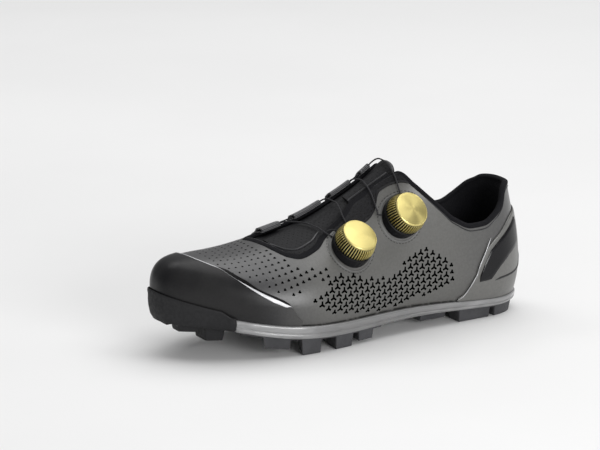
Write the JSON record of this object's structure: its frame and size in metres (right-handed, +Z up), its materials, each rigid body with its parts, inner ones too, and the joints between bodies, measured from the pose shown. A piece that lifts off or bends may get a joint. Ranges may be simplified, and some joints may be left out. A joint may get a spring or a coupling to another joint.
{
  "type": "cycling shoe",
  "caption": "Left off-road cycling shoe: hollow low-cut upper on a stiff lugged sole, tongue, laces through throat loops, two round turning closures on the outer side.",
  "frame": {"origin": "centre of the bounding box in plan, on the floor that the lugs stand on", "axes": "+Z up, toe towards -Y, heel towards +Y, outer (lateral) side towards +X"},
  "size_m": [0.1038, 0.2882, 0.122],
  "materials": {
    "upper_skin": "satin warm dark grey synthetic leather",
    "cap_film": "satin charcoal film",
    "gloss_panel": "gloss black",
    "tread_rubber": "matt charcoal rubber",
    "plate_resin": "glossy marbled grey composite",
    "black_textile": "black woven textile",
    "insole_foam": "dark knit over foam",
    "dial_metal": "pale gold brushed and polished",
    "dial_plastic": "black moulded",
    "lace_cord": "thin dark braided cord"
  },
  "bodies": {
    "root": {"upper": "upper_skin", "toe_cap": "cap_film", "heel_counter": "cap_film", "heel_panel_lateral": "gloss_panel", "heel_panel_medial": "gloss_panel", "sole_plate": "plate_resin", "toe_bumper": "tread_rubber", "tread_lateral": "tread_rubber", "tread_medial": "tread_rubber", "tread_heel": "tread_rubber", "insole": "insole_foam", "tongue": "black_textile", "collar_lining": "black_textile", "wing_front": "black_textile", "wing_top": "black_textile", "lace_loop_front": "black_textile", "lace_loop_middle": "black_textile", "lace_loop_top": "black_textile", "lace_loop_collar": "black_textile", "lace_front": "lace_cord", "lace_top": "lace_cord", "dial_front_base": "dial_plastic", "dial_top_base": "dial_plastic", "dial_front_knob": "dial_metal", "dial_top_knob": "dial_metal"}
  },
  "joints": []
}
